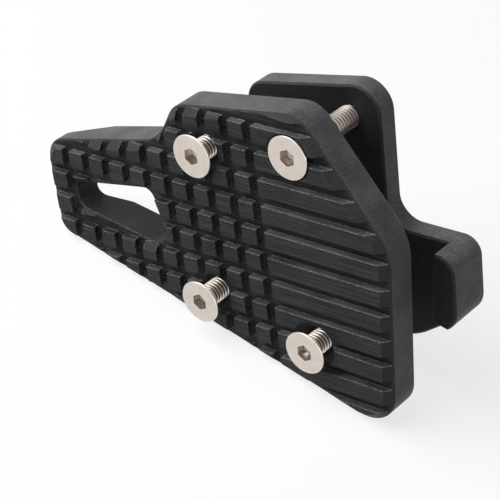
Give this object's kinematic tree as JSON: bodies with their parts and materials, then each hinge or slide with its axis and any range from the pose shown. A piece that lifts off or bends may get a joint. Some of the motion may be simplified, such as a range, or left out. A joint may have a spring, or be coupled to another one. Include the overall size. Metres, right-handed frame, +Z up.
{
  "type": "brake pedal extension",
  "caption": "Wide brake pedal extension: a crossed-groove grip plate with a windowed arm, and a hooked clamp plate that four countersunk screws draw onto the pedal's pad.",
  "frame": {"origin": "on the back of the grip plate, in the middle between the four screws to within 1 mm", "axes": "+X along the long lower edge towards the wide end with the hook, +Y from the grip through the pedal's pad to the clamp plate, +Z up across the grip"},
  "size_m": [0.1189, 0.0398, 0.0741],
  "materials": {
    "anodised_grip": "milled, fine blasted and black anodised, satin",
    "anodised_clamp": "milled and black anodised, satin",
    "stainless_screw": "turned stainless steel, bright"
  },
  "bodies": {
    "pedal_plate": {"pedal_plate": "anodised_grip"},
    "clamp_plate": {"clamp_plate": "anodised_clamp"},
    "screw_upper_left": {"screw_upper_left": "stainless_screw"},
    "screw_upper_right": {"screw_upper_right": "stainless_screw"},
    "screw_lower_left": {"screw_lower_left": "stainless_screw"},
    "screw_lower_right": {"screw_lower_right": "stainless_screw"}
  },
  "joints": [
    {"name": "clamp_slide", "type": "slide", "parent": "pedal_plate", "child": "clamp_plate", "axis": [0, 1, 0], "range_m": [-0.0119, 0]},
    {"name": "screw_upper_left_travel", "type": "slide", "parent": "clamp_plate", "child": "screw_upper_left", "axis": [0, 1, 0], "range_m": [-0.0074, 0.0028]},
    {"name": "screw_upper_right_travel", "type": "slide", "parent": "clamp_plate", "child": "screw_upper_right", "axis": [0, 1, 0], "range_m": [-0.0102, 0]},
    {"name": "screw_lower_left_travel", "type": "slide", "parent": "clamp_plate", "child": "screw_lower_left", "axis": [0, 1, 0], "range_m": [-0.0055, 0.0047]},
    {"name": "screw_lower_right_travel", "type": "slide", "parent": "clamp_plate", "child": "screw_lower_right", "axis": [0, 1, 0], "range_m": [-0.0063, 0.0038]}
  ]
}
